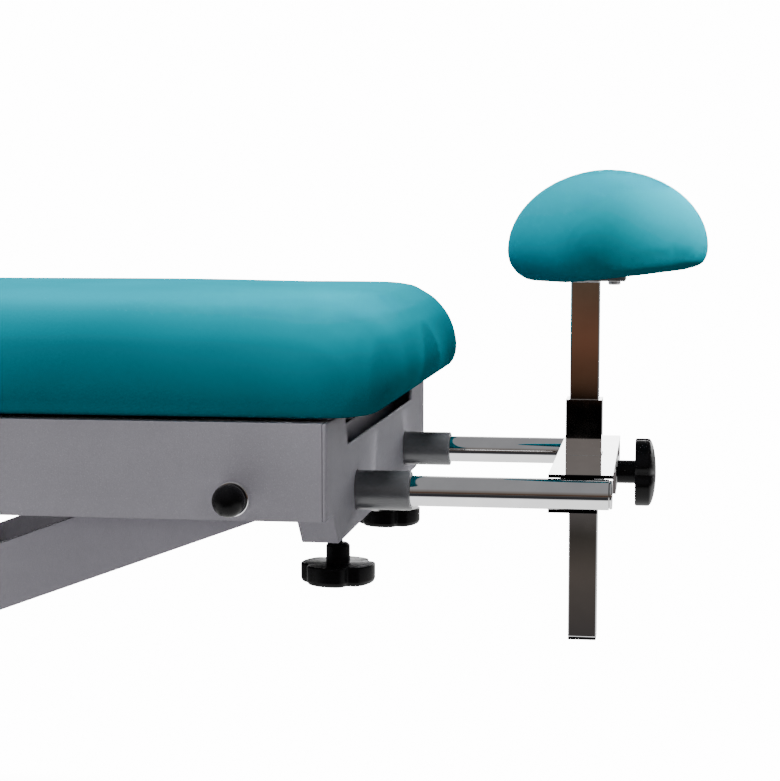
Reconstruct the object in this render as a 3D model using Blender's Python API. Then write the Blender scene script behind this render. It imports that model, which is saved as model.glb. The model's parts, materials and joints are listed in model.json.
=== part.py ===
"""Height-adjustable examination table with a sliding end support and a padded post.

Metres, +Z up from the floor. +X points to the foot end, which carries the end support.
The origin lies on the floor, under the middle of the whole table.
"""
import math

import bmesh
import bpy
from mathutils import Vector

MM = 0.001
FIT = 0.3 * MM
RUN = 0.4 * MM

# Table top frame
FRAME_LENGTH = 1820 * MM
FRAME_WIDTH = 570 * MM
RAIL_HEIGHT = 74.5 * MM
RAIL_FLANGE = 31 * MM
SHEET = 3 * MM
TUBE_HEIGHT = 505 * MM
RAIL_DROP = 4.5 * MM
CROSS_DEPTH = 30 * MM
CROSS_DROP = 25.5 * MM
NOTCH_DEPTH = 27 * MM
NOTCH_WIDTH = 374 * MM
NOTCH_FLARE = 15 * MM
BEARER_HEIGHT = 28 * MM
BEARER_DEPTH = 25 * MM
BEARER_HEAD_GAP = 470 * MM

# Mattress
BOARD_THICK = 18 * MM
BOARD_INSET = 45 * MM
MATTRESS_GAP = 2 * MM
MATTRESS_THICK = 96.5 * MM
SIDE_OVERHANG = 1.5 * MM
MATTRESS_OVERHANG = 27.5 * MM
HEAD_OVERHANG = 26.5 * MM
MATTRESS_BULGE = 14 * MM
SIDE_BULGE = 1.5 * MM
MATTRESS_WAIST = 18 * MM
MATTRESS_CORNER = 45 * MM
SHOULDER_POWER = 0.88
SIDE_SHOULDER = 40 * MM
END_SHOULDER = 65.5 * MM
MATTRESS_CROWN = 8.5 * MM

# Sliding end support
TUBE_D = 25 * MM
TUBE_WALL = 2 * MM
TUBE_SPACING = 284 * MM
TUBE_REACH = 209.5 * MM
TUBE_TAIL = 220.5 * MM
GUIDE_D = 32.5 * MM
GUIDE_OUT = 45 * MM
GUIDE_IN = 155 * MM
CHANNEL_LENGTH = 52.5 * MM
CHANNEL_WEB = 60 * MM
CHANNEL_TRIM = 12.5 * MM
SLEEVE_SIZE = 31.6 * MM
SLEEVE_WALL = 2.8 * MM
SLEEVE_TOP = 65 * MM
SLEEVE_SETBACK = 29 * MM
POST_GAP = 0.4 * MM
POST_WALL = 2 * MM
POST_LENGTH = 317 * MM
POST_TOP = 169 * MM
PLUG_DEPTH = 14 * MM
PLUG_HEAD = 3 * MM

# Pad on the post
PLATE_LENGTH = 50 * MM
PLATE_SHIFT = 10 * MM
PLATE_WIDTH = 60 * MM
PLATE_THICK = 5 * MM
PAD_LENGTH = 176.5 * MM
PAD_CORNER = 42 * MM
PAD_TURN = math.radians(35)
PAD_CENTRE = 18 * MM
PAD_EQUATOR = 26 * MM
PAD_DOME = 71.5 * MM
PAD_DOME_POWER = 1.05
PAD_SEAT = 0.79
PAD_SEAT_END = 0.09
PAD_SEAT_SIDE = 0.07
PAD_SEAT_RING = 0.85
PAD_LIP = 6 * MM
PAD_RISE = 14 * MM
PAD_RISE_START = 34 * MM
PAD_RISE_LEFT = 0.25
BOLT_END = 25 * MM
BOLT_BACK = 21 * MM
BOLT_HEAD_D = 11 * MM
BOLT_HEAD = 3.6 * MM
BOLT_D = 8 * MM
BOLT_DEPTH = 20 * MM

# Knobs
STUD_D = 8 * MM
STAR_D = 62 * MM
STAR_LOBES = 4
STAR_SCALLOP = 5 * MM
STAR_TURN = math.radians(16.3)
STAR_HEIGHT = 16.5 * MM
STAR_HUB_D = 20 * MM
STAR_HUB = 16.8 * MM
STAR_GAP = 14.5 * MM
STAR_GAP_BACK = 12 * MM
STAR_INSET = 16.5 * MM
CLAMP_D = 61.2 * MM
CLAMP_THICK = 18.4 * MM
CLAMP_HUB_D = 20.6 * MM
CLAMP_HUB = 15.8 * MM
CLAMP_TURN = math.radians(45)

# Scissor lift
PIVOT_INSET = 71 * MM
PIVOT_RISE = 13 * MM
PIVOT_OFFSET = 330 * MM
BASE_PIVOT_Z = 75 * MM
ARM_RUN = 1204 * MM
ARM_HEIGHT = 50 * MM
ARM_THICK = 20 * MM
ARM_WALL = 2 * MM
ARM_TAIL = 25 * MM
ARM_TO_RAIL = 4 * MM
ARM_TO_ARM = 4 * MM
AXLE_D = 20 * MM
AXLE_HEAD_D = 28 * MM
AXLE_HEAD = 2 * MM
CAP_D = 25 * MM
COLLAR_D = 27 * MM
COLLAR = 8 * MM
ROLLER_D = 28 * MM
ROLLER_WIDTH = 18 * MM
ROLLER_PIN_D = 14 * MM
TRACK_HEIGHT = 7.7 * MM
TRACK_BACK = 85 * MM
TRACK_AHEAD = 195 * MM
CROSS_TUBE_D = 38 * MM
CROSS_TUBE_WALL = 3 * MM
OUTER_TIE = 420 * MM
INNER_TIE = 220 * MM

# Base
BASE_RAIL_HEIGHT = 44 * MM
BASE_HEAD_REACH = 1500 * MM
BASE_TIE_DEPTH = 30 * MM
BASE_TIE_HEIGHT = 36 * MM
FOOT_D = 50 * MM
FOOT_HEIGHT = 22 * MM
FOOT_STUD_D = 12 * MM
FOOT_INSET = 38 * MM

# Foot pump
LEVER_RADIUS = 110 * MM
LEVER_ANGLE = math.radians(100)
LEVER_PLATE = 8 * MM
TORQUE_TUBE_D = 44 * MM
PUMP_DISTANCE = 569 * MM
PUMP_Z = 128 * MM
PUMP_D = 56 * MM
PUMP_LENGTH = 305 * MM
RAM_D = 25 * MM
RAM_IN = 120 * MM
RAM_ROOM = 25 * MM
EYE_D = 36 * MM
EYE_WIDTH = 26 * MM
RAM_SLACK = 1.8 * MM
SHAFT_D = 16 * MM
EAR_THICK = 8 * MM
PEDAL_OUT = 20 * MM
PEDAL_ARM = 150 * MM
PEDAL_ARM_D = 14 * MM
PEDAL_LENGTH = 65 * MM
PEDAL_WIDTH = 50 * MM
PEDAL_THICK = 20 * MM

# Values worked out from the driving dimensions
HALF_W = FRAME_WIDTH / 2
RAIL_IN = HALF_W - RAIL_FLANGE
RAIL_Z0 = TUBE_HEIGHT - RAIL_DROP
RAIL_Z1 = RAIL_Z0 + RAIL_HEIGHT
HALF_T = TUBE_SPACING / 2
POST_SIZE = SLEEVE_SIZE - 2 * (SLEEVE_WALL + POST_GAP)
MATTRESS_WIDTH = FRAME_WIDTH + 2 * SIDE_OVERHANG
MATTRESS_Z = RAIL_Z1 + MATTRESS_GAP
PAD_REACH = TUBE_REACH - SLEEVE_SETBACK + PAD_CENTRE + PAD_LENGTH / 2
HEAD_REACH = FRAME_LENGTH + HEAD_OVERHANG + MATTRESS_BULGE
END_X = (HEAD_REACH - PAD_REACH) / 2
HEAD_X = END_X - FRAME_LENGTH
STAR_X = END_X - STAR_INSET
POST_X = END_X + TUBE_REACH - SLEEVE_SETBACK
CHANNEL_Z = TUBE_D / 2 + FIT + SHEET
PIVOT_X = END_X - PIVOT_INSET
PIVOT_Z = TUBE_HEIGHT + PIVOT_RISE
ARM_RISE = PIVOT_Z - BASE_PIVOT_Z
ARM_LENGTH = math.hypot(ARM_RUN, ARM_RISE)
BASE_PIVOT_X = PIVOT_X - PIVOT_OFFSET
TOP_ROLLER_X = BASE_PIVOT_X - ARM_RUN
BASE_ROLLER_X = PIVOT_X - ARM_RUN
CENTRE_X = (BASE_PIVOT_X + BASE_ROLLER_X) / 2
CENTRE_Z = BASE_PIVOT_Z + (BASE_PIVOT_X - CENTRE_X) * ARM_RISE / ARM_RUN
OUTER_Y = RAIL_IN - ARM_TO_RAIL
INNER_Y = OUTER_Y - ARM_THICK - ARM_TO_ARM
ROLLER_Y = HALF_W - SHEET - ROLLER_WIDTH - 4 * FIT
BASE_Z0 = BASE_PIVOT_Z - ROLLER_D / 2 - FIT - SHEET
BASE_Z1 = BASE_Z0 + BASE_RAIL_HEIGHT
BASE_HEAD_X = END_X - BASE_HEAD_REACH
BASE_FOOT_X = BASE_PIVOT_X + PIVOT_INSET
PUMP_X = BASE_PIVOT_X - PUMP_DISTANCE
LEVER_GAP = EYE_WIDTH + 4 * FIT
SIDES = (("front", -1), ("back", 1))

# Power that narrows the notches of a knob
NOTCH_SHARPNESS = 8

# Corners of a round piece: small pins, tubes, and knobs
SMALL = 16
ROUND = 24
FINE = 32

X_AXIS = Vector((1, 0, 0))
Y_AXIS = Vector((0, 1, 0))
Z_AXIS = Vector((0, 0, 1))


def clear_scene():
    for old in list(bpy.data.objects):
        bpy.data.objects.remove(old, do_unlink=True)


def make_material(name, color, roughness, metallic):
    material = bpy.data.materials.new(name)
    material.use_nodes = True
    shader = material.node_tree.nodes["Principled BSDF"]
    shader.inputs["Base Color"].default_value = (*color, 1)
    shader.inputs["Roughness"].default_value = roughness
    shader.inputs["Metallic"].default_value = metallic
    return material


class Carriers(dict):
    """Carriers by name, each remembering where it stands in the world."""

    def add(self, name, place, parent=None):
        carrier = bpy.data.objects.new(name, None)
        bpy.context.scene.collection.objects.link(carrier)
        base = Vector((0, 0, 0)) if parent is None else self[parent][1]
        carrier.location = Vector(place) - base
        if parent is not None:
            carrier.parent = self[parent][0]
        self[name] = (carrier, Vector(place))


carriers = Carriers()
materials = {}


def add_object(name, verts, faces, material, carrier):
    """Makes a closed mesh from world-space points and hangs it from its carrier."""
    empty, place = carriers[carrier]
    mesh = bpy.data.meshes.new(name)
    mesh.from_pydata([Vector(v) - place for v in verts], [], faces)
    work = bmesh.new()
    work.from_mesh(mesh)
    bmesh.ops.recalc_face_normals(work, faces=work.faces)
    work.to_mesh(mesh)
    work.free()
    mesh.materials.append(materials[material])
    mesh.shade_smooth()
    mesh.set_sharp_from_angle(angle=math.radians(35))
    piece = bpy.data.objects.new(name, mesh)
    bpy.context.scene.collection.objects.link(piece)
    piece.parent = empty
    return piece


def skin(loops, closed=False):
    """Faces over a row of point loops; a one-point loop is a pole, open ends get caps."""
    verts = []
    spans = []
    for loop in loops:
        spans.append((len(verts), len(loop)))
        verts.extend(loop)
    pairs = list(zip(spans, spans[1:]))
    if closed:
        pairs.append((spans[-1], spans[0]))
    faces = []
    for (start_a, count_a), (start_b, count_b) in pairs:
        count = max(count_a, count_b)
        for i in range(count):
            j = (i + 1) % count
            corners = [start_a + i % count_a, start_a + j % count_a,
                       start_b + j % count_b, start_b + i % count_b]
            faces.append(list(dict.fromkeys(corners)))
    if not closed:
        for start, count in (spans[0], spans[-1]):
            if count > 2:
                faces.append(list(range(start, start + count)))
    return verts, faces


def side_axes(axis):
    helper = Z_AXIS if abs(axis.z) < 0.9 else X_AXIS
    first = axis.cross(helper).normalized()
    return first, axis.cross(first).normalized()


def round_loop(centre, axis, radius, sides, scallop=0.0, lobes=0, phase=0.0):
    """A ring of points, turned by phase; with lobes, narrow notches as deep as scallop part them."""
    if radius < 1e-6:
        return [Vector(centre)]
    first, second = side_axes(axis)
    loop = []
    for i in range(sides):
        turn = 2 * math.pi * i / sides
        dip = scallop * (0.5 - 0.5 * math.cos(lobes * turn)) ** NOTCH_SHARPNESS
        reach = radius - dip
        turn += phase
        loop.append(Vector(centre) + first * (reach * math.cos(turn)) + second * (reach * math.sin(turn)))
    return loop


def turned(name, origin, axis, profile, material, carrier, sides=ROUND, bored=False, lobes=0, phase=0.0):
    """A turned piece: profile rows are (distance along the axis, radius, scallop depth)."""
    axis = Vector(axis).normalized()
    loops = []
    for row in profile:
        scallop = row[2] if len(row) > 2 else 0.0
        centre = Vector(origin) + axis * row[0]
        loops.append(round_loop(centre, axis, row[1], sides, scallop, lobes, phase))
    verts, faces = skin(loops, closed=bored)
    return add_object(name, verts, faces, material, carrier)


def rod(name, start, end, diameter, material, carrier, sides=SMALL):
    axis = Vector(end) - Vector(start)
    radius = diameter / 2
    return turned(name, start, axis, ((0, radius), (axis.length, radius)), material, carrier, sides)


def pipe(name, start, end, outer, wall, material, carrier, sides=ROUND):
    axis = Vector(end) - Vector(start)
    radius = outer / 2
    bore = radius - wall
    profile = ((0, radius), (axis.length, radius), (axis.length, bore), (0, bore))
    return turned(name, start, axis, profile, material, carrier, sides, bored=True)


def prism(name, outline, axis, low, high, material, carrier):
    """An outline in the plane across an axis, extruded from low to high along it."""
    order = {"X": (2, 0, 1), "Y": (0, 2, 1), "Z": (0, 1, 2)}[axis]
    loops = []
    for level in (low, high):
        loop = []
        for a, b in outline:
            row = (a, b, level)
            loop.append(Vector((row[order[0]], row[order[1]], row[order[2]])))
        loops.append(loop)
    verts, faces = skin(loops)
    return add_object(name, verts, faces, material, carrier)


def block(name, low, high, material, carrier):
    outline = ((low[0], low[1]), (high[0], low[1]), (high[0], high[1]), (low[0], high[1]))
    return prism(name, outline, "Z", low[2], high[2], material, carrier)


def square_pipe(name, centre, size, wall, low, high, material, carrier):
    """An upright square tube round a centre in plan."""
    loops = []
    half = size / 2
    bore = half - wall
    for level, reach in ((low, half), (high, half), (high, bore), (low, bore)):
        loops.append([Vector((centre[0] + a * reach, centre[1] + b * reach, level))
                      for a, b in ((-1, -1), (1, -1), (1, 1), (-1, 1))])
    verts, faces = skin(loops, closed=True)
    return add_object(name, verts, faces, material, carrier)


def cross_pipe(name, low_x, high_x, low_z, high_z, reach, carrier):
    """A rectangular tube across the table, open at both ends."""
    loops = []
    for y, inset in ((-reach, 0), (reach, 0), (reach, SHEET), (-reach, SHEET)):
        corners = ((low_x + inset, low_z + inset), (high_x - inset, low_z + inset),
                   (high_x - inset, high_z - inset), (low_x + inset, high_z - inset))
        loops.append([Vector((x, y, z)) for x, z in corners])
    verts, faces = skin(loops, closed=True)
    return add_object(name, verts, faces, "paint", carrier)


def as_tool(piece):
    piece.hide_render = True
    piece.display_type = "WIRE"
    return piece


def combine(piece, tool, operation):
    step = piece.modifiers.new(tool.name, "BOOLEAN")
    step.operation = operation
    step.object = as_tool(tool)
    step.solver = "EXACT"


def cut(piece, tool):
    combine(piece, tool, "DIFFERENCE")


def fuse(piece, tool):
    combine(piece, tool, "UNION")


def drill(piece, start, end, diameter, sides=SMALL):
    """Cuts a round hole between two points, in the piece's own carrier."""
    carrier = piece.parent.name
    tool = rod(piece.name + ".drill", start, end, diameter, "steel", carrier, sides)
    cut(piece, tool)


def make_materials():
    materials["paint"] = make_material("grey_paint", (0.24, 0.24, 0.26), 0.55, 0.0)
    materials["chrome"] = make_material("chrome", (0.85, 0.85, 0.86), 0.06, 1.0)
    materials["steel"] = make_material("zinc_steel", (0.55, 0.55, 0.57), 0.35, 1.0)
    materials["black"] = make_material("black_plastic", (0.012, 0.012, 0.013), 0.35, 0.0)
    materials["rubber"] = make_material("black_rubber", (0.02, 0.02, 0.02), 0.8, 0.0)
    materials["nylon"] = make_material("white_nylon", (0.75, 0.74, 0.70), 0.5, 0.0)
    materials["vinyl"] = make_material("teal_vinyl", (0.0, 0.30, 0.36), 0.42, 0.0)
    materials["board"] = make_material("black_board", (0.015, 0.015, 0.016), 0.7, 0.0)


def make_carriers():
    carriers.add("base_carrier", (0, 0, 0))
    carriers.add("inner_arms_carrier", (BASE_PIVOT_X, 0, BASE_PIVOT_Z), "base_carrier")
    carriers.add("outer_arms_carrier", (CENTRE_X, 0, CENTRE_Z), "inner_arms_carrier")
    carriers.add("top_carrier", (PIVOT_X, 0, PIVOT_Z), "outer_arms_carrier")
    for side, sign in SIDES:
        y = sign * (ROLLER_Y + ROLLER_WIDTH / 2)
        carriers.add("top_roller_%s_carrier" % side, (TOP_ROLLER_X, y, PIVOT_Z), "inner_arms_carrier")
        low_roller = (BASE_ROLLER_X, y, BASE_PIVOT_Z)
        carriers.add("base_roller_%s_carrier" % side, low_roller, "outer_arms_carrier")
        star = (STAR_X, sign * HALF_T, RAIL_Z0 - CROSS_DROP)
        carriers.add("star_%s_carrier" % side, star, "top_carrier")
    carriers.add("outrigger_carrier", (END_X, 0, TUBE_HEIGHT), "top_carrier")
    carriers.add("clamp_carrier", (END_X + TUBE_REACH, 0, TUBE_HEIGHT), "outrigger_carrier")
    carriers.add("post_carrier", (POST_X, 0, TUBE_HEIGHT), "outrigger_carrier")
    carriers.add("pump_carrier", (PUMP_X, 0, PUMP_Z), "base_carrier")
    carriers.add("ram_carrier", lever_tip(), "pump_carrier")
    carriers.add("pedal_carrier", (PUMP_X, 0, PUMP_Z), "base_carrier")


def lever_tip():
    reach = Vector((math.cos(LEVER_ANGLE), 0, math.sin(LEVER_ANGLE))) * LEVER_RADIUS
    return Vector((BASE_PIVOT_X, 0, BASE_PIVOT_Z)) + reach


def channel_outline(sign, low, high):
    """A folded C section that opens towards the middle of the table."""
    outer = sign * HALF_W
    web = sign * (HALF_W - SHEET)
    tip = sign * RAIL_IN
    return ((outer, low), (outer, high), (tip, high), (tip, high - SHEET), (web, high - SHEET),
            (web, low + SHEET), (tip, low + SHEET), (tip, low))


def make_side_rails():
    for side, sign in SIDES:
        rail = prism("side_rail_" + side, channel_outline(sign, RAIL_Z0, RAIL_Z1), "X",
                     HEAD_X + SHEET + FIT, END_X - SHEET - FIT, "paint", "top_carrier")
        drill(rail, (PIVOT_X, sign * (HALF_W - 2 * SHEET), PIVOT_Z),
              (PIVOT_X, sign * (HALF_W + SHEET), PIVOT_Z), AXLE_D + 2 * FIT)
        track_z = PIVOT_Z + ROLLER_D / 2 + RUN
        web = sign * (HALF_W - SHEET / 2)
        tip = sign * (RAIL_IN + FIT)
        track_top = track_z + TRACK_HEIGHT
        outline = ((web, track_z), (web, track_top), (tip, track_top), (tip, track_z))
        track = prism("roller_track." + side, outline, "X", TOP_ROLLER_X - TRACK_BACK,
                      TOP_ROLLER_X + TRACK_AHEAD, "paint", "top_carrier")
        fuse(rail, track)


def end_outline(half_width, low, notched):
    """The end plate's outline: ears, an optional notch between them and a chamfered foot."""
    top = RAIL_Z1
    corner = RAIL_Z0
    inner = RAIL_IN - FIT
    outline = []
    for sign in (1, -1):
        sides = [(sign * (inner - (corner - low)), low), (sign * inner, corner)]
        if half_width > inner:
            sides.append((sign * half_width, corner))
        sides.append((sign * half_width, top))
        if notched:
            sides.append((sign * (NOTCH_WIDTH / 2 + NOTCH_FLARE), top))
            sides.append((sign * NOTCH_WIDTH / 2, top - NOTCH_DEPTH))
        outline.extend(sides if sign > 0 else reversed(sides))
    return outline


def box_cut_outline():
    """The hollow of a folded cross-member, open at its top."""
    low = RAIL_Z0 - CROSS_DROP + SHEET
    inner = RAIL_IN - FIT - SHEET
    slope = inner - CROSS_DROP
    high = RAIL_Z1 + SHEET
    return ((slope, low), (inner, RAIL_Z0 + SHEET), (inner, high),
            (-inner, high), (-inner, RAIL_Z0 + SHEET), (-slope, low))


def make_cross_member(name, face_x, inward, notched):
    """A folded box with a face plate that closes the ends of both rails."""
    low = RAIL_Z0 - CROSS_DROP
    plate_x = face_x + inward * SHEET
    back_x = face_x + inward * CROSS_DEPTH
    member = prism(name, end_outline(HALF_W, low, notched), "X",
                   min(face_x, plate_x), max(face_x, plate_x), "paint", "top_carrier")
    start = face_x + inward * SHEET / 2
    box = prism(name + ".box", end_outline(RAIL_IN - FIT, low, notched), "X",
                min(start, back_x), max(start, back_x), "paint", "top_carrier")
    fuse(member, box)
    wall_x = back_x - inward * SHEET
    hollow = prism(name + ".hollow", box_cut_outline(), "X",
                   min(plate_x, wall_x), max(plate_x, wall_x), "paint", "top_carrier")
    cut(member, hollow)
    return member


def make_end_frames():
    foot = make_cross_member("foot_cross_member", END_X, -1, True)
    for side, sign in SIDES:
        drill(foot, (END_X - 2 * CROSS_DEPTH, sign * HALF_T, TUBE_HEIGHT),
              (END_X + CROSS_DEPTH, sign * HALF_T, TUBE_HEIGHT), GUIDE_D + 2 * FIT, ROUND)
        low = RAIL_Z0 - CROSS_DROP
        drill(foot, (STAR_X, sign * HALF_T, low - SHEET),
              (STAR_X, sign * HALF_T, low + 2 * SHEET), STUD_D + 2 * RUN)
    make_cross_member("head_cross_member", HEAD_X, 1, False)


def make_guides():
    """Welded guide tubes, their inner plate, and the bearer under the board."""
    support_x = END_X - GUIDE_IN + SHEET
    bearer_top = MATTRESS_Z - FIT - BOARD_THICK - FIT
    bearer_low = bearer_top - BEARER_HEIGHT
    lug = GUIDE_D / 2 + 4 * SHEET
    outline = []
    for sign in (-1, 1):
        lugs = [(sign * (RAIL_IN - FIT), bearer_top), (sign * (RAIL_IN - FIT), bearer_low),
                (sign * (HALF_T + lug), bearer_low), (sign * (HALF_T + lug), TUBE_HEIGHT - lug),
                (sign * (HALF_T - lug), TUBE_HEIGHT - lug), (sign * (HALF_T - lug), bearer_low)]
        outline.extend(lugs if sign < 0 else reversed(lugs))
    support = prism("guide_support", outline, "X", support_x, support_x + 2 * SHEET, "paint", "top_carrier")
    for side, sign in SIDES:
        y = sign * HALF_T
        drill(support, (support_x - SHEET, y, TUBE_HEIGHT), (support_x + 3 * SHEET, y, TUBE_HEIGHT),
              GUIDE_D + 2 * FIT, ROUND)
        wall = (GUIDE_D - TUBE_D) / 2 - RUN
        guide = pipe("guide_tube_" + side, (END_X - GUIDE_IN, y, TUBE_HEIGHT),
                     (END_X + GUIDE_OUT, y, TUBE_HEIGHT), GUIDE_D, wall, "paint", "top_carrier")
        drill(guide, (STAR_X, y, TUBE_HEIGHT - GUIDE_D), (STAR_X, y, TUBE_HEIGHT), STUD_D + 2 * RUN)
    reach = RAIL_IN - FIT
    head_x = HEAD_X + BEARER_HEAD_GAP
    for name, x in (("middle", (support_x + head_x) / 2), ("head", head_x)):
        cross_pipe("board_bearer_" + name, x - BEARER_DEPTH / 2, x + BEARER_DEPTH / 2,
                   bearer_low, bearer_top, reach, "top_carrier")


def make_top_pivots():
    """Stub axles through the rails, with a bright collar and a round black cap outside."""
    inner = OUTER_Y - ARM_THICK - 2 * AXLE_HEAD
    for side, sign in SIDES:
        origin = (PIVOT_X, sign * inner, PIVOT_Z)
        face = HALF_W + FIT - inner
        radius = AXLE_D / 2
        collar = COLLAR_D / 2
        spigot = CAP_D * 0.22
        turned("top_axle_" + side, origin, (0, sign, 0),
               ((0, radius), (face, radius), (face, collar), (face + COLLAR * 0.75, collar),
                (face + COLLAR, collar * 0.9), (face + COLLAR, spigot), (face + COLLAR * 1.5, spigot)),
               "chrome", "top_carrier")
        ball = CAP_D / 2
        seat = face + COLLAR + FIT
        socket = COLLAR * 0.5 + FIT
        rim = ball * 0.80
        sunk = math.sqrt(ball * ball - rim * rim)
        profile = [(seat + socket, 0), (seat + socket, spigot + FIT), (seat, spigot + FIT)]
        start = math.atan2(rim, -sunk)
        steps = 9
        for i in range(steps + 1):
            turn = start * (1 - i / steps)
            profile.append((seat + sunk + ball * math.cos(turn), max(ball * math.sin(turn), 0)))
        turned("axle_cap_" + side, origin, (0, sign, 0), profile, "black", "top_carrier")


def round_rectangle(half_x, half_y, corner, steps):
    """Points of a rounded rectangle in plan, the same count whatever its size."""
    points = []
    corner = min(corner, half_x, half_y)
    for quarter, (a, b) in enumerate(((1, 1), (-1, 1), (-1, -1), (1, -1))):
        for i in range(steps + 1):
            turn = math.pi / 2 * (quarter + i / steps)
            points.append((a * (half_x - corner) + corner * math.cos(turn),
                           b * (half_y - corner) + corner * math.sin(turn)))
    return points


def make_mattress():
    """A black board and a crowned cushion whose sides tuck in towards the frame."""
    centre_x = (END_X + HEAD_X) / 2
    board_z = MATTRESS_Z - FIT - BOARD_THICK
    half_board = FRAME_LENGTH / 2 - BOARD_INSET
    block("mattress_board", (centre_x - half_board, -RAIL_IN + FIT, board_z),
          (centre_x + half_board, RAIL_IN - FIT, board_z + BOARD_THICK), "board", "top_carrier")
    half_x = (FRAME_LENGTH + MATTRESS_OVERHANG + HEAD_OVERHANG) / 2
    cushion_x = centre_x + (MATTRESS_OVERHANG - HEAD_OVERHANG) / 2
    half_y = MATTRESS_WIDTH / 2
    shoulder_height = MATTRESS_THICK - MATTRESS_WAIST - MATTRESS_CROWN
    rows = [(-END_SHOULDER, -END_SHOULDER, 0.0), (0.0, 0.0, 0.0)]
    side_steps = 4
    for i in range(1, side_steps + 1):
        turn = math.pi / 2 * i / side_steps
        swell = math.sin(turn)
        rows.append((MATTRESS_BULGE * swell, SIDE_BULGE * swell, MATTRESS_WAIST * (1 - math.cos(turn))))
    shoulder_steps = 7
    for i in range(1, shoulder_steps + 1):
        turn = math.pi / 2 * i / shoulder_steps
        level = math.sin(turn) ** SHOULDER_POWER
        end_draw = 1 - max(math.cos(turn), 0) ** SHOULDER_POWER
        side_draw = 1 - math.sqrt(max(1 - level * level, 0))
        rows.append((MATTRESS_BULGE - END_SHOULDER * end_draw, SIDE_BULGE - SIDE_SHOULDER * side_draw,
                     MATTRESS_WAIST + shoulder_height * level))
    end_in = MATTRESS_BULGE - END_SHOULDER
    side_in = SIDE_BULGE - SIDE_SHOULDER
    flat = half_y + side_in
    for share in (0.25, 0.5, 0.75, 0.92):
        crown = MATTRESS_CROWN * (1 - (1 - share) ** 2)
        rows.append((end_in - flat * share, side_in - flat * share, MATTRESS_THICK - MATTRESS_CROWN + crown))
    loops = []
    for end_grow, side_grow, rise in rows:
        corner = max(MATTRESS_CORNER + min(end_grow, 0) / 2, MATTRESS_CORNER / 6)
        plan = round_rectangle(half_x + end_grow, half_y + side_grow, corner, 7)
        loops.append([Vector((cushion_x + x, y, MATTRESS_Z + rise)) for x, y in plan])
    verts, faces = skin(loops)
    add_object("mattress", verts, faces, "vinyl", "top_carrier")


def arm_point(start, end, distance):
    """A point on the line of an arm, measured from its start."""
    line = (Vector(end) - Vector(start)).normalized()
    return Vector(start) + line * distance


def make_arm(name, start, end, y_near, carrier):
    """A rectangular tube past both pivots, with a hole at each pivot and at the middle."""
    line = (Vector(end) - Vector(start)).normalized()
    across = Y_AXIS.cross(line)
    loops = []
    for distance, inset in ((-ARM_TAIL, 0), (ARM_LENGTH + ARM_TAIL, 0),
                            (ARM_LENGTH + ARM_TAIL, ARM_WALL), (-ARM_TAIL, ARM_WALL)):
        middle = Vector(start) + line * distance
        loop = []
        for b, c in ((-1, -1), (1, -1), (1, 1), (-1, 1)):
            loop.append(middle + Y_AXIS * (y_near + b * (ARM_THICK / 2 - inset))
                        + across * (c * (ARM_HEIGHT / 2 - inset)))
        loops.append(loop)
    verts, faces = skin(loops, closed=True)
    return add_object(name, verts, faces, "paint", carrier)


def drill_arm(arm, point, y_centre, diameter):
    reach = ARM_THICK
    drill(arm, (point[0], y_centre - reach, point[2]), (point[0], y_centre + reach, point[2]), diameter)


def weld_pin(arm, point, y_from, y_to, diameter):
    """Fuses a stub axle that runs outwards from inside an arm."""
    tool = rod(arm.name + ".pin", (point[0], y_from, point[2]), (point[0], y_to, point[2]),
               diameter, "steel", arm.parent.name)
    fuse(arm, tool)


def make_rollers(kind, x, z):
    for side, sign in SIDES:
        radius = ROLLER_D / 2
        bore = ROLLER_PIN_D / 2 + RUN
        edge = radius * 0.08
        profile = ((0, radius - edge), (edge, radius), (ROLLER_WIDTH - edge, radius),
                   (ROLLER_WIDTH, radius - edge), (ROLLER_WIDTH, bore), (0, bore))
        name = "%s_roller_%s" % (kind, side)
        turned(name, (x, sign * ROLLER_Y, z), (0, sign, 0), profile, "nylon",
               name + "_carrier", bored=True)


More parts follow.
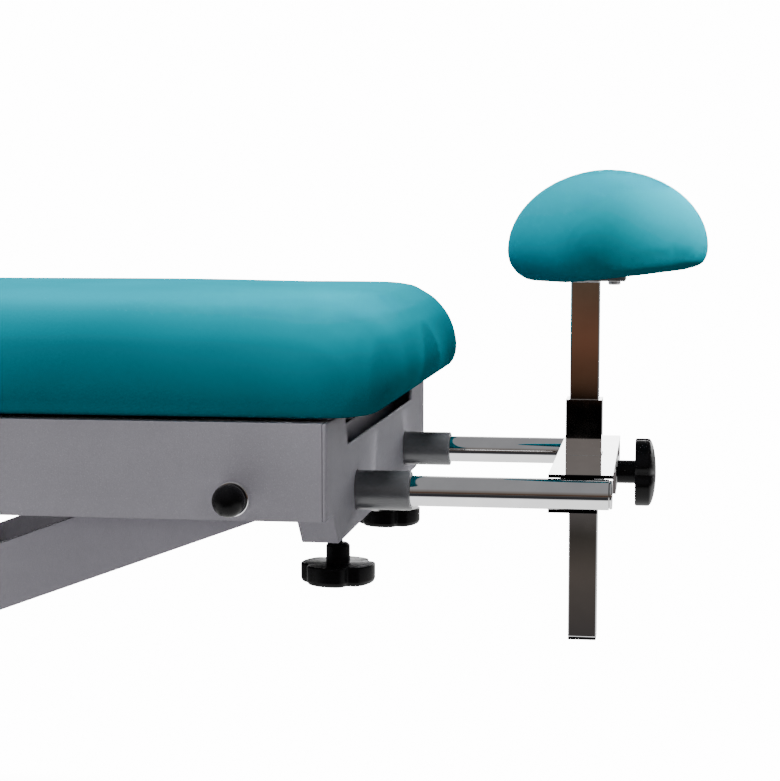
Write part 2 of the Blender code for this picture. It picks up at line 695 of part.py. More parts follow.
def make_arms():
    low_fixed = Vector((BASE_PIVOT_X, 0, BASE_PIVOT_Z))
    high_free = Vector((TOP_ROLLER_X, 0, PIVOT_Z))
    high_fixed = Vector((PIVOT_X, 0, PIVOT_Z))
    low_free = Vector((BASE_ROLLER_X, 0, BASE_PIVOT_Z))
    middle = Vector((CENTRE_X, 0, CENTRE_Z))
    pin_tip = ROLLER_Y + ROLLER_WIDTH
    for side, sign in SIDES:
        inner_y = sign * (INNER_Y - ARM_THICK / 2)
        outer_y = sign * (OUTER_Y - ARM_THICK / 2)
        inner = make_arm("inner_arm_" + side, low_fixed, high_free, inner_y, "inner_arms_carrier")
        drill_arm(inner, low_fixed, inner_y, AXLE_D + 2 * RUN)
        drill_arm(inner, middle, inner_y, AXLE_D + 2 * RUN)
        weld_pin(inner, high_free, inner_y, sign * pin_tip, ROLLER_PIN_D)
        outer = make_arm("outer_arm_" + side, high_fixed, low_free, outer_y, "outer_arms_carrier")
        drill_arm(outer, high_fixed, outer_y, AXLE_D + 2 * RUN)
        drill_arm(outer, middle, outer_y, AXLE_D + 2 * RUN)
        weld_pin(outer, low_free, outer_y, sign * pin_tip, ROLLER_PIN_D)
        radius = AXLE_D / 2
        head = AXLE_HEAD_D / 2
        grip = OUTER_Y - INNER_Y + ARM_THICK + 2 * FIT
        origin = (middle[0], sign * (INNER_Y - ARM_THICK - FIT - AXLE_HEAD), middle[2])
        turned("centre_pin_" + side, origin, (0, sign, 0),
               ((0, head), (AXLE_HEAD, head), (AXLE_HEAD, radius), (AXLE_HEAD + grip, radius),
                (AXLE_HEAD + grip, head), (2 * AXLE_HEAD + grip, head)),
               "steel", "inner_arms_carrier", SMALL)
    make_rollers("top", TOP_ROLLER_X, PIVOT_Z)
    make_rollers("base", BASE_ROLLER_X, BASE_PIVOT_Z)
    inner_reach = INNER_Y - ARM_THICK - FIT
    outer_reach = OUTER_Y - ARM_THICK - FIT
    ties = (("inner_tie", arm_point(high_free, low_fixed, INNER_TIE), inner_reach, "inner_arms_carrier"),
            ("outer_tie", arm_point(high_fixed, low_free, OUTER_TIE), outer_reach, "outer_arms_carrier"))
    for name, point, reach, carrier in ties:
        pipe(name, (point[0], -reach, point[2]), (point[0], reach, point[2]),
             CROSS_TUBE_D, CROSS_TUBE_WALL, "paint", carrier)


def stadium(low_point, high_point, radius, steps=10):
    """An outline in X and Z: two half circles joined by straight sides."""
    line = (Vector(high_point) - Vector(low_point)).normalized()
    heading = math.atan2(line.z, line.x)
    points = []
    for centre, start in ((high_point, heading - math.pi / 2), (low_point, heading + math.pi / 2)):
        for i in range(steps + 1):
            turn = start + math.pi * i / steps
            points.append((centre[0] + radius * math.cos(turn), centre[2] + radius * math.sin(turn)))
    return points


def make_lever():
    """The torque tube between the inner arms, with a forked lever that the ram pushes."""
    reach = INNER_Y - ARM_THICK - FIT
    wall = (TORQUE_TUBE_D - AXLE_D) / 2 - RUN
    pivot = Vector((BASE_PIVOT_X, 0, BASE_PIVOT_Z))
    tip = lever_tip()
    tube = pipe("torque_tube", (BASE_PIVOT_X, -reach, BASE_PIVOT_Z), (BASE_PIVOT_X, reach, BASE_PIVOT_Z),
                TORQUE_TUBE_D, wall, "paint", "inner_arms_carrier")
    root = pivot + (tip - pivot).normalized() * (TORQUE_TUBE_D / 2 - wall / 2)
    half_gap = LEVER_GAP / 2
    for side, sign in SIDES:
        near = sign * half_gap
        far = sign * (half_gap + LEVER_PLATE)
        line = (tip - root).normalized()
        start = root + line * EYE_D / 2
        plate = prism("lever_plate." + side, stadium(start, tip, EYE_D / 2), "Y",
                      min(near, far), max(near, far), "paint", "inner_arms_carrier")
        fuse(tube, plate)
    drill(tube, (BASE_PIVOT_X, -reach - SHEET, BASE_PIVOT_Z),
          (BASE_PIVOT_X, reach + SHEET, BASE_PIVOT_Z), AXLE_D + 2 * RUN)
    far = half_gap + LEVER_PLATE
    drill(tube, (tip[0], -far - SHEET, tip[2]), (tip[0], far + SHEET, tip[2]), SHAFT_D + 2 * FIT)
    rod("lever_pin", (tip[0], -far, tip[2]), (tip[0], far, tip[2]), SHAFT_D, "steel", "inner_arms_carrier")


def make_pump():
    """A foot pump: a cylinder that tips on the pedal shaft, and the ram that lifts the arms."""
    seat = Vector((PUMP_X, 0, PUMP_Z))
    tip = lever_tip()
    line = (tip - seat).normalized()
    radius = PUMP_D / 2
    start = EYE_D / 2 + 4 * SHEET
    bore = RAM_D / 2 + RUN
    end = start + PUMP_LENGTH
    floor = end - RAM_IN - RAM_ROOM
    profile = ((start, radius * 0.9), (start + SHEET, radius), (end - 2 * SHEET, radius),
               (end - SHEET, radius * 0.8), (end, radius * 0.8), (end, bore), (floor, bore), (floor, 0))
    body = turned("pump_cylinder", seat, line, ((start, 0),) + profile, "paint", "pump_carrier")
    half_eye = EYE_WIDTH / 2
    foot = prism("pump_cylinder.eye", stadium(seat, seat + line * (start + SHEET), EYE_D / 2), "Y",
                 -half_eye, half_eye, "paint", "pump_carrier")
    fuse(body, foot)
    drill(body, (PUMP_X, -radius, PUMP_Z), (PUMP_X, radius, PUMP_Z), SHAFT_D + 2 * RUN)
    length = (tip - seat).length
    ram = turned("pump_ram", seat, line, ((end - RAM_IN, RAM_D / 2), (length, RAM_D / 2)),
                 "chrome", "ram_carrier")
    eye = rod("pump_ram.eye", (tip[0], -half_eye, tip[2]), (tip[0], half_eye, tip[2]), EYE_D,
              "chrome", "ram_carrier")
    fuse(ram, eye)
    drill(ram, (tip[0], -radius, tip[2]), (tip[0], radius, tip[2]), SHAFT_D + 2 * RAM_SLACK)


def make_pedals():
    """One shaft with an arm and a rubber tread on each side of the table."""
    arm_y = HALF_W + PEDAL_OUT
    end_x = PUMP_X - PEDAL_ARM
    shaft = rod("pedal_shaft", (PUMP_X, -arm_y - PEDAL_ARM_D, PUMP_Z), (PUMP_X, arm_y + PEDAL_ARM_D, PUMP_Z),
                SHAFT_D, "steel", "pedal_carrier")
    for side, sign in SIDES:
        y = sign * arm_y
        arm = rod("pedal_arm." + side, (PUMP_X, y, PUMP_Z), (end_x, y, PUMP_Z), PEDAL_ARM_D,
                  "steel", "pedal_carrier")
        fuse(shaft, arm)
        inner = sign * (arm_y - PEDAL_ARM_D)
        outer = sign * (arm_y - PEDAL_ARM_D + PEDAL_WIDTH)
        half = PEDAL_THICK / 2
        tread_x = end_x - PEDAL_ARM_D
        tread = block("pedal_tread_" + side, (tread_x, min(inner, outer), PUMP_Z - half),
                      (tread_x + PEDAL_LENGTH, max(inner, outer), PUMP_Z + half), "rubber", "pedal_carrier")
        drill(tread, (end_x - FIT, y, PUMP_Z), (end_x + PEDAL_LENGTH, y, PUMP_Z), PEDAL_ARM_D + 2 * FIT)


def make_base():
    for side, sign in SIDES:
        rail = prism("base_rail_" + side, channel_outline(sign, BASE_Z0, BASE_Z1), "X",
                     BASE_HEAD_X, BASE_FOOT_X, "paint", "base_carrier")
        drill(rail, (BASE_PIVOT_X, sign * (HALF_W - 2 * SHEET), BASE_PIVOT_Z),
              (BASE_PIVOT_X, sign * (HALF_W + SHEET), BASE_PIVOT_Z), AXLE_D + 2 * FIT)
        for end, x in (("foot", BASE_FOOT_X - FOOT_INSET), ("head", BASE_HEAD_X + FOOT_INSET)):
            y = sign * (HALF_W - RAIL_FLANGE / 2)
            radius = FOOT_D / 2
            stud = FOOT_STUD_D / 2
            top = BASE_Z0 - FIT
            turned("foot_%s_%s" % (end, side), (x, y, 0), Z_AXIS,
                   ((0, radius * 0.94), (FOOT_HEIGHT * 0.15, radius), (FOOT_HEIGHT * 0.6, radius),
                    (FOOT_HEIGHT, radius * 0.5), (FOOT_HEIGHT + FIT, stud), (top, stud)),
                   "rubber", "base_carrier")
    reach = RAIL_IN - FIT
    ties = (("foot", BASE_FOOT_X - SHEET), ("head", BASE_HEAD_X + FOOT_INSET))
    tie_z = BASE_Z0 + SHEET
    for end, x in ties:
        cross_pipe("base_tie_" + end, x - BASE_TIE_DEPTH, x, tie_z, tie_z + BASE_TIE_HEIGHT, reach,
                   "base_carrier")
    half = BASE_TIE_DEPTH / 2
    mount = cross_pipe("pump_mount", PUMP_X - half, PUMP_X + half, tie_z, tie_z + BASE_TIE_HEIGHT, reach,
                       "base_carrier")
    ear_in = EYE_WIDTH / 2 + FIT
    low = Vector((PUMP_X, 0, tie_z + BASE_TIE_HEIGHT / 2))
    high = Vector((PUMP_X, 0, PUMP_Z))
    for side, sign in SIDES:
        near = sign * ear_in
        far = sign * (ear_in + EAR_THICK)
        ear = prism("pump_ear." + side, stadium(low, high, half * 0.95), "Y", min(near, far), max(near, far),
                    "paint", "base_carrier")
        fuse(mount, ear)
    drill(mount, (PUMP_X, -2 * EYE_WIDTH, PUMP_Z), (PUMP_X, 2 * EYE_WIDTH, PUMP_Z), SHAFT_D + 2 * RUN)
    head = AXLE_HEAD_D / 2
    radius = AXLE_D / 2
    outer = HALF_W + FIT
    turned("base_axle", (BASE_PIVOT_X, 0, BASE_PIVOT_Z), Y_AXIS,
           ((-outer - AXLE_HEAD, head), (-outer, head), (-outer, radius), (outer, radius),
            (outer, head), (outer + AXLE_HEAD, head)), "steel", "base_carrier", SMALL)


def make_outrigger():
    """Two bright tubes joined by a folded channel, with a square sleeve for the post."""
    start_x = END_X + TUBE_REACH - CHANNEL_LENGTH
    end_x = END_X + TUBE_REACH
    for side, sign in SIDES:
        y = sign * HALF_T
        tube_x = end_x - PLUG_HEAD
        pipe("outrigger_tube_" + side, (END_X - TUBE_TAIL, y, TUBE_HEIGHT), (tube_x, y, TUBE_HEIGHT),
             TUBE_D, TUBE_WALL, "chrome", "outrigger_carrier")
        radius = TUBE_D / 2
        bore = radius - TUBE_WALL - FIT
        rim = radius * 0.95
        turned("tube_plug_" + side, (tube_x + FIT, y, TUBE_HEIGHT), X_AXIS,
               ((-PLUG_DEPTH, bore), (0, bore), (0, rim), (PLUG_HEAD * 0.5, rim),
                (PLUG_HEAD * 0.8, rim * 0.8)),
               "chrome", "outrigger_carrier")
    channel = block("clamp_channel", (start_x, -HALF_T, TUBE_HEIGHT - CHANNEL_Z),
                    (end_x, HALF_T, TUBE_HEIGHT + CHANNEL_Z), "chrome", "outrigger_carrier")
    inside = CHANNEL_Z - SHEET
    cavity = block("clamp_channel.cavity", (start_x - SHEET, -HALF_T - SHEET, TUBE_HEIGHT - inside),
                   (end_x - SHEET, HALF_T + SHEET, TUBE_HEIGHT + inside), "chrome", "outrigger_carrier")
    cut(channel, cavity)
    web_end = CHANNEL_WEB / 2
    for side, sign in SIDES:
        near = sign * web_end
        far = sign * (HALF_T + SHEET)
        notch = block("clamp_channel.notch_" + side,
                      (start_x, min(near, far), TUBE_HEIGHT - inside),
                      (end_x + SHEET, max(near, far), TUBE_HEIGHT + inside), "chrome", "outrigger_carrier")
        cut(channel, notch)
        trim = block("clamp_channel.trim_" + side,
                     (end_x - CHANNEL_TRIM, min(near, far), TUBE_HEIGHT - 2 * CHANNEL_Z),
                     (end_x + SHEET, max(near, far), TUBE_HEIGHT), "chrome", "outrigger_carrier")
        cut(channel, trim)
    hole = SLEEVE_SIZE / 2 + FIT
    window = block("clamp_channel.window", (POST_X - hole, -hole, TUBE_HEIGHT - 2 * CHANNEL_Z),
                   (POST_X + hole, hole, TUBE_HEIGHT + 2 * CHANNEL_Z), "chrome", "outrigger_carrier")
    cut(channel, window)
    drill(channel, (end_x - 2 * SHEET, 0, TUBE_HEIGHT), (end_x + SHEET, 0, TUBE_HEIGHT), STUD_D + 2 * RUN)
    sleeve = square_pipe("post_sleeve", (POST_X, 0), SLEEVE_SIZE, SLEEVE_WALL, TUBE_HEIGHT - CHANNEL_Z,
                         TUBE_HEIGHT + SLEEVE_TOP, "chrome", "outrigger_carrier")
    drill(sleeve, (POST_X + POST_SIZE / 2, 0, TUBE_HEIGHT), (POST_X + SLEEVE_SIZE, 0, TUBE_HEIGHT),
          STUD_D + 2 * RUN)


def make_post():
    top = TUBE_HEIGHT + POST_TOP
    low = top - POST_LENGTH
    square_pipe("post", (POST_X, 0), POST_SIZE, POST_WALL, low, top, "chrome", "post_carrier")
    bore = POST_SIZE / 2 - POST_WALL - FIT
    rim = POST_SIZE / 2
    loops = []
    for level, reach in ((low + PLUG_DEPTH, bore), (low - FIT, bore), (low - FIT, rim),
                         (low - FIT - PLUG_HEAD * 0.5, rim), (low - FIT - PLUG_HEAD * 0.7, rim * 0.9)):
        loops.append([Vector((POST_X + a * reach, b * reach, level))
                      for a, b in ((-1, -1), (1, -1), (1, 1), (-1, 1))])
    verts, faces = skin(loops)
    add_object("post_plug", verts, faces, "black", "post_carrier")
    plate_z = top + FIT
    plate_x = POST_X + PLATE_SHIFT
    plate = block("pad_plate", (plate_x - PLATE_LENGTH / 2, -PLATE_WIDTH / 2, plate_z),
                  (plate_x + PLATE_LENGTH / 2, PLATE_WIDTH / 2, plate_z + PLATE_THICK),
                  "steel", "post_carrier")
    pad_z = plate_z + PLATE_THICK + FIT
    pad = make_pad(pad_z - PAD_LIP)
    recess_x = PLATE_LENGTH / 2 + FIT
    recess_y = PLATE_WIDTH / 2 + FIT
    recess = block("pad.recess", (plate_x - recess_x, -recess_y, pad_z - 2 * PLATE_THICK),
                   (plate_x + recess_x, recess_y, pad_z), "vinyl", "post_carrier")
    cut(pad, recess)
    for side, x, y in (("end", POST_X + BOLT_END, 0), ("back", POST_X, BOLT_BACK)):
        radius = BOLT_D / 2
        head = BOLT_HEAD_D / 2
        drill(plate, (x, y, plate_z - SHEET), (x, y, plate_z + 2 * PLATE_THICK), BOLT_D + 2 * FIT)
        drill(pad, (x, y, pad_z - 2 * PLATE_THICK), (x, y, pad_z + BOLT_DEPTH), BOLT_D + 2 * FIT)
        turned("pad_bolt_" + side, (x, y, plate_z - FIT), Z_AXIS,
               ((-BOLT_HEAD, head * 0.8), (-BOLT_HEAD * 0.7, head), (0, head), (0, radius),
                (PLATE_THICK + BOLT_DEPTH, radius)), "steel", "post_carrier", SMALL)


def make_pad(base_z):
    """A domed pad, a rounded square in plan with a corner forward; its underside lifts to the end."""
    centre_x = POST_X + PAD_CENTRE
    cosine = math.cos(PAD_TURN)
    sine = math.sin(PAD_TURN)
    half = (PAD_LENGTH / 2 - PAD_CORNER) / (cosine + sine) + PAD_CORNER
    plan = []
    for x, y in round_rectangle(half, half, PAD_CORNER, 8):
        plan.append((x * cosine - y * sine, x * sine + y * cosine))
    reach = PAD_LENGTH / 2
    rows = [(PAD_SEAT_RING, 0.0, 0.0, 1.0), (1.0, 0.0, 0.0, 1.0)]
    under_steps = 5
    for i in range(1, under_steps + 1):
        turn = math.pi / 2 * i / under_steps
        rows.append((1.0, math.sin(turn), PAD_EQUATOR * (1 - math.cos(turn)),
                     1 - (1 - PAD_RISE_LEFT) * (1 - math.cos(turn))))
    dome_steps = 9
    for i in range(1, dome_steps):
        turn = math.pi / 2 * i / dome_steps
        rows.append((math.cos(turn) ** PAD_DOME_POWER, 1.0, PAD_EQUATOR + PAD_DOME * math.sin(turn),
                     PAD_RISE_LEFT * math.cos(turn)))
    seat_lift = PAD_RISE * PAD_RISE_START / (reach + PAD_RISE_START)
    loops = [[Vector((centre_x, 0, base_z + seat_lift))]]
    for scale, swell, rise, tilt in rows:
        loop = []
        for x, y in plan:
            seat = PAD_SEAT + PAD_SEAT_END * x / reach + PAD_SEAT_SIDE * (y / reach) ** 2
            share = scale * (seat + (1 - seat) * swell)
            along = max(share * x + PAD_RISE_START, 0) / (reach + PAD_RISE_START)
            lift = PAD_RISE * tilt * along
            loop.append(Vector((centre_x + share * x, share * y, base_z + rise + lift)))
        loops.append(loop)
    loops.append([Vector((centre_x, 0, base_z + PAD_EQUATOR + PAD_DOME))])
    verts, faces = skin(loops)
    return add_object("pad", verts, faces, "vinyl", "post_carrier")


def make_knobs():
    for side, sign in SIDES:
        origin = (STAR_X, sign * HALF_T, TUBE_HEIGHT)
        stud = STUD_D / 2
        hub = STAR_HUB_D / 2
        star = STAR_D / 2
        gap = STAR_GAP if side == "front" else STAR_GAP_BACK
        high = RAIL_DROP + CROSS_DROP + gap
        low = high + STAR_HUB
        end = low + STAR_HEIGHT
        dip = STAR_SCALLOP
        profile = ((TUBE_D / 2 + FIT, stud), (high, stud), (high, hub * 0.8), (high + STAR_HUB * 0.12, hub),
                   (low, hub), (low, star * 0.96, dip), (low + STAR_HEIGHT * 0.1, star, dip),
                   (end - STAR_HEIGHT * 0.3, star, dip), (end - STAR_HEIGHT * 0.1, star * 0.95, dip),
                   (end, star * 0.85, dip))
        turned("star_knob_" + side, origin, -Z_AXIS, profile, "black", "star_%s_carrier" % side, FINE,
               lobes=STAR_LOBES, phase=STAR_TURN)
    hub = CLAMP_HUB_D / 2
    disc = CLAMP_D / 2
    dip = STAR_SCALLOP
    start = FIT + CLAMP_HUB
    profile = [(POST_SIZE / 2 + FIT - SLEEVE_SETBACK, STUD_D / 2), (FIT, STUD_D / 2), (FIT, hub),
               (start, hub), (start, disc * 0.96, dip), (start + CLAMP_THICK * 0.08, disc, dip)]
    rim = CLAMP_THICK * 0.62
    profile.append((start + rim, disc, dip))
    steps = 6
    for i in range(1, steps + 1):
        turn = math.pi / 2 * i / steps
        profile.append((start + rim + (CLAMP_THICK - rim) * math.sin(turn), disc * math.cos(turn),
                        dip * math.cos(turn)))
    profile[-1] = (start + CLAMP_THICK, 0)
    turned("clamp_knob", (END_X + TUBE_REACH, 0, TUBE_HEIGHT), X_AXIS, profile, "black",
           "clamp_carrier", FINE, lobes=STAR_LOBES, phase=CLAMP_TURN)


def main():
    clear_scene()
    make_materials()
    make_carriers()
    make_base()
    make_lever()
    make_pump()
    make_pedals()
    make_arms()
    make_side_rails()
    make_end_frames()
    make_guides()
    make_top_pivots()
    make_mattress()
    make_outrigger()
    make_post()
    make_knobs()


main()
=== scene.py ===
import json
import math
import bmesh
import bpy
import numpy as np
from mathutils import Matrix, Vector


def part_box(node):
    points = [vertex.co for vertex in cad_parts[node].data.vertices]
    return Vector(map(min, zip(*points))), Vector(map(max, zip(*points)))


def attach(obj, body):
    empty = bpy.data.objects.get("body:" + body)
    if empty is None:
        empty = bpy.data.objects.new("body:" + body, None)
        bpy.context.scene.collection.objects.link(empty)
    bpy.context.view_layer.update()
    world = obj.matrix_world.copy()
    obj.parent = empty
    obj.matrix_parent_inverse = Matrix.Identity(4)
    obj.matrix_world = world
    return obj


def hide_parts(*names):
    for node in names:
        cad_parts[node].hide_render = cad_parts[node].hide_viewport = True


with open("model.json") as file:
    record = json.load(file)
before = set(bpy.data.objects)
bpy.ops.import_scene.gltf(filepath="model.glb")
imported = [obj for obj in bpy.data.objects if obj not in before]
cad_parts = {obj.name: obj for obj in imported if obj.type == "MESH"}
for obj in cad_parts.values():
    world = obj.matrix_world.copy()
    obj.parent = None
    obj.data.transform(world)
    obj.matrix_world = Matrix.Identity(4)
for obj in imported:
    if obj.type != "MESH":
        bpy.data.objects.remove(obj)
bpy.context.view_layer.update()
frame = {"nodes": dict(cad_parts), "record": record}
nodes = frame["nodes"]
print("frame loaded,", len(nodes), "nodes")


# shader maths: one wrapped socket, used in plain expressions

class Wire:
    def __init__(self, sheet, socket):
        self.sheet = sheet
        self.socket = socket

    def sums(self, operation, a, b):
        return self.sheet.add("ShaderNodeMath", {"operation": operation}, {0: a, 1: b})

    def __add__(self, other):
        return self.sums("ADD", self, other)

    def __mul__(self, other):
        return self.sums("MULTIPLY", self, other)


class Sheet:
    def __init__(self, tree):
        self.tree = tree

    def add(self, kind, settings, values, out=0):
        node = self.tree.nodes.new(kind)
        for key, value in settings.items():
            if key == "stops":  # a ramp's stops are set before its links
                ramp = node.color_ramp
                while len(ramp.elements) < len(value):
                    ramp.elements.new(0.5)
                for element, (place, color) in zip(ramp.elements, value):
                    element.position = place
                    element.color = (*color, 1)
            else:
                setattr(node, key, value)
        for key, value in values.items():
            socket = node.inputs[key]
            if isinstance(value, Wire):
                self.tree.links.new(value.socket, socket)
            else:
                socket.default_value = value
        return Wire(self, node.outputs[out])

    def noise(self, scale, detail=2.0, rough=0.5):
        place = self.add("ShaderNodeTexCoord", {}, {}, "Object")
        return self.add("ShaderNodeTexNoise", {}, {"Vector": place, "Scale": scale, "Detail": detail,
                                                   "Roughness": rough})

    def along(self, axis):
        place = self.add("ShaderNodeTexCoord", {}, {}, "Object")
        return self.add("ShaderNodeSeparateXYZ", {}, {0: place}, axis)

    def spread(self, value, low, high, outLow, outHigh):
        return self.add("ShaderNodeMapRange", {"interpolation_type": "SMOOTHSTEP"},
                        {"Value": value, "From Min": low, "From Max": high, "To Min": outLow, "To Max": outHigh})

    def blend(self, factor, a, b):
        return self.add("ShaderNodeMix", {"data_type": "RGBA"}, {0: factor, 6: (*a, 1) if isinstance(a, tuple) else a,
                                                                7: (*b, 1) if isinstance(b, tuple) else b}, 2)


def newFinish(name, settings):
    material = bpy.data.materials.new(name)
    material.use_nodes = True
    shader = material.node_tree.nodes["Principled BSDF"]
    for key, value in settings.items():
        shader.inputs[key].default_value = value
    return material, Sheet(material.node_tree), shader


def feed(sheet, shader, name, wire):
    sheet.tree.links.new(wire.socket, shader.inputs[name])


vinylLook = {"deep": (0.0, 0.208, 0.273), "light": (0.0, 0.242, 0.318), "under": (0.004, 0.004, 0.005),
             "grain": 620.0, "fade": 0.0008}


def vinylFinish(name, foot=None):
    # where foot is given, the skin under that height is near black
    material, sheet, shader = newFinish(name, {"Specular IOR Level": 0.0})
    cloud = sheet.noise(5.0, 3.0)  # slow change of tone over the skin
    color = sheet.blend(sheet.spread(cloud, 0.35, 0.65, 0.0, 1.0), vinylLook["deep"], vinylLook["light"])
    if foot is not None:
        below = sheet.spread(sheet.along("Z"), foot, foot + vinylLook["fade"], 1.0, 0.0)
        color = sheet.blend(below, color, vinylLook["under"])
    feed(sheet, shader, "Base Color", color)
    grain = sheet.noise(vinylLook["grain"], 3.0, 0.6)
    feed(sheet, shader, "Roughness", sheet.spread(grain, 0.3, 0.7, 0.36, 0.46))
    bump = sheet.add("ShaderNodeBump", {}, {"Strength": 0.10, "Distance": 0.0006, "Height": grain})
    feed(sheet, shader, "Normal", bump)
    return material


paintLook = {"dark": (0.53, 0.515, 0.575), "pale": (0.58, 0.565, 0.63), "speck": (0.70, 0.69, 0.74), "grain": 900.0,
             "specks": 1500.0}


def paintFinish():
    material, sheet, shader = newFinish("greyPaint", {"Specular IOR Level": 0.02})
    grain = sheet.noise(paintLook["grain"], 4.0, 0.7)  # fine powder coat
    patch = sheet.noise(14.0, 2.0)
    tone = sheet.spread(grain * 0.5 + patch * 0.5, 0.36, 0.64, 0.0, 1.0)
    specks = sheet.spread(sheet.noise(paintLook["specks"], 1.0), 0.66, 0.72, 0.0, 1.0)  # a few pale specks
    color = sheet.blend(tone, paintLook["dark"], paintLook["pale"])
    feed(sheet, shader, "Base Color", sheet.blend(specks, color, paintLook["speck"]))
    feed(sheet, shader, "Roughness", sheet.spread(grain, 0.3, 0.7, 0.42, 0.6))
    bump = sheet.add("ShaderNodeBump", {}, {"Strength": 0.18, "Distance": 0.0004, "Height": grain})
    feed(sheet, shader, "Normal", bump)
    return material


def shadedBossFinish():
    # smooth grey enamel on the guide tubes with a sheen; its base colour is darker than the frame's as painted shade
    # from the cushion's overhang
    material, sheet, shader = newFinish("shadedGreyEnamel", {"Specular IOR Level": 0.8})
    haze = sheet.noise(60.0, 3.0, 0.6)
    feed(sheet, shader, "Base Color", sheet.blend(haze, (0.13, 0.134, 0.146), (0.18, 0.184, 0.198)))
    feed(sheet, shader, "Roughness", sheet.spread(haze, 0.3, 0.7, 0.28, 0.36))
    return material


# the near-black colour here is painted shade and painted dark reflection for the clamp channel's front edge
chromeLook = {"dull": (0.80, 0.80, 0.81), "bright": (0.88, 0.88, 0.885), "cut": (0.006, 0.005, 0.007), "fade": 0.0003}


def chromeFinish(name, shadedEdgeY=None):
    # where the edge height is given, the sheet below it in y is painted near black: painted shade and painted dark
    # reflection on its front edge
    material, sheet, shader = newFinish(name, {"Metallic": 1.0})
    haze = sheet.noise(40.0, 4.0, 0.6)
    color = sheet.blend(sheet.spread(haze, 0.3, 0.7, 0.0, 1.0), chromeLook["dull"], chromeLook["bright"])
    if shadedEdgeY is not None:
        cut = sheet.spread(sheet.along("Y"), shadedEdgeY, shadedEdgeY + chromeLook["fade"], 1.0, 0.0)
        color = sheet.blend(cut, color, chromeLook["cut"])
    feed(sheet, shader, "Base Color", color)
    feed(sheet, shader, "Roughness", sheet.spread(haze, 0.3, 0.75, 0.02, 0.055))
    return material


def steelFinish():
    material, sheet, shader = newFinish("zincSteel", {"Metallic": 1.0})
    haze = sheet.noise(120.0, 4.0, 0.6)
    feed(sheet, shader, "Base Color", sheet.blend(haze, (0.42, 0.42, 0.43), (0.62, 0.62, 0.63)))
    feed(sheet, shader, "Roughness", sheet.spread(haze, 0.3, 0.7, 0.28, 0.44))
    return material


def plasticFinish(name, low, high, roughLow, roughHigh, scale, gloss=0.5, rough=0.2):
    material, sheet, shader = newFinish(name, {"Specular IOR Level": gloss})
    grain = sheet.noise(scale, 4.0, 0.65)
    feed(sheet, shader, "Base Color", sheet.blend(sheet.spread(grain, 0.3, 0.7, 0.0, 1.0), low, high))
    feed(sheet, shader, "Roughness", sheet.spread(grain, 0.3, 0.7, roughLow, roughHigh))
    bump = sheet.add("ShaderNodeBump", {}, {"Strength": rough, "Distance": 0.0003, "Height": grain})
    feed(sheet, shader, "Normal", bump)
    return material


finishes = {
    "grey_paint": paintFinish(),
    "chrome": chromeFinish("brightChrome"),
    "zinc_steel": steelFinish(),
    "black_plastic": plasticFinish("blackPlastic", (0.004, 0.0037, 0.0044), (0.006, 0.0055, 0.0064), 0.26, 0.36,
                                   700.0, gloss=0.12, rough=0.04),
    "black_rubber": plasticFinish("blackRubber", (0.014, 0.014, 0.014), (0.028, 0.028, 0.028), 0.7, 0.88, 300.0),
    "white_nylon": plasticFinish("whiteNylon", (0.66, 0.65, 0.61), (0.78, 0.77, 0.73), 0.42, 0.56, 250.0),
    "teal_vinyl": vinylFinish("tealVinyl"),
    "black_board": plasticFinish("blackBoard", (0.010, 0.010, 0.011), (0.024, 0.023, 0.022), 0.6, 0.8, 90.0),
}
shadedBossPaint = shadedBossFinish()
slotOf = {row["node"]: row["material_slot"] for row in frame["record"]["subparts"]}
bodyOf = {node: body for body, group in frame["record"]["behaviour"]["bodies"].items() for node in group}
print("finishes made")


# surfaces on a grid

def gridPiece(name, grid):
    # rows of points: neighbouring rows are joined by quads, and each row closes on itself
    rows, columns = grid.shape[:2]
    index = np.arange(rows * columns).reshape(rows, columns)
    after = np.roll(index, -1, axis=1)
    quads = np.stack([index[:-1], after[:-1], after[1:], index[1:]], axis=-1).reshape(-1, 4)
    mesh = bpy.data.meshes.new(name)
    mesh.from_pydata(grid.reshape(-1, 3).tolist(), [], quads.tolist())
    work = bmesh.new()
    work.from_mesh(mesh)
    bmesh.ops.remove_doubles(work, verts=work.verts, dist=1e-6)
    bmesh.ops.dissolve_degenerate(work, edges=work.edges, dist=1e-7)
    bmesh.ops.recalc_face_normals(work, faces=work.faces)
    work.to_mesh(mesh)
    work.free()
    mesh.shade_smooth()
    mesh.set_sharp_from_angle(angle=math.radians(38))
    piece = bpy.data.objects.new(name, mesh)
    bpy.context.scene.collection.objects.link(piece)
    return piece


def dress(piece, node):
    slot = slotOf[node]
    piece.data.materials.clear()
    piece.data.materials.append(finishes[slot])
    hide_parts(node)
    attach(piece, bodyOf[node])


def turnedGrid(origin, axis, profile, sides=96, lobes=0, phase=0.0):
    # profile rows (along, radius, dip): radius shrinks by dip * (0.5 - 0.5 cos(lobes * turn))^8 in a notch
    rows = np.array([list(row) + [0.0] * (3 - len(row)) for row in profile])
    turn = np.linspace(0, 2 * np.pi, sides, endpoint=False)
    axis = np.array(axis, float)
    helper = np.array([0.0, 0, 1]) if abs(axis[2]) < 0.9 else np.array([1.0, 0, 0])
    first = np.cross(axis, helper)
    first = first / np.linalg.norm(first)
    second = np.cross(axis, first)
    wave = (0.5 - 0.5 * np.cos(lobes * (turn - phase))) ** 8
    reach = np.maximum(rows[:, 1:2] - rows[:, 2:3] * wave[None, :], 0.0)
    ring = np.cos(turn)[:, None] * first + np.sin(turn)[:, None] * second
    return np.array(origin) + rows[:, 0][:, None, None] * axis + reach[:, :, None] * ring[None]


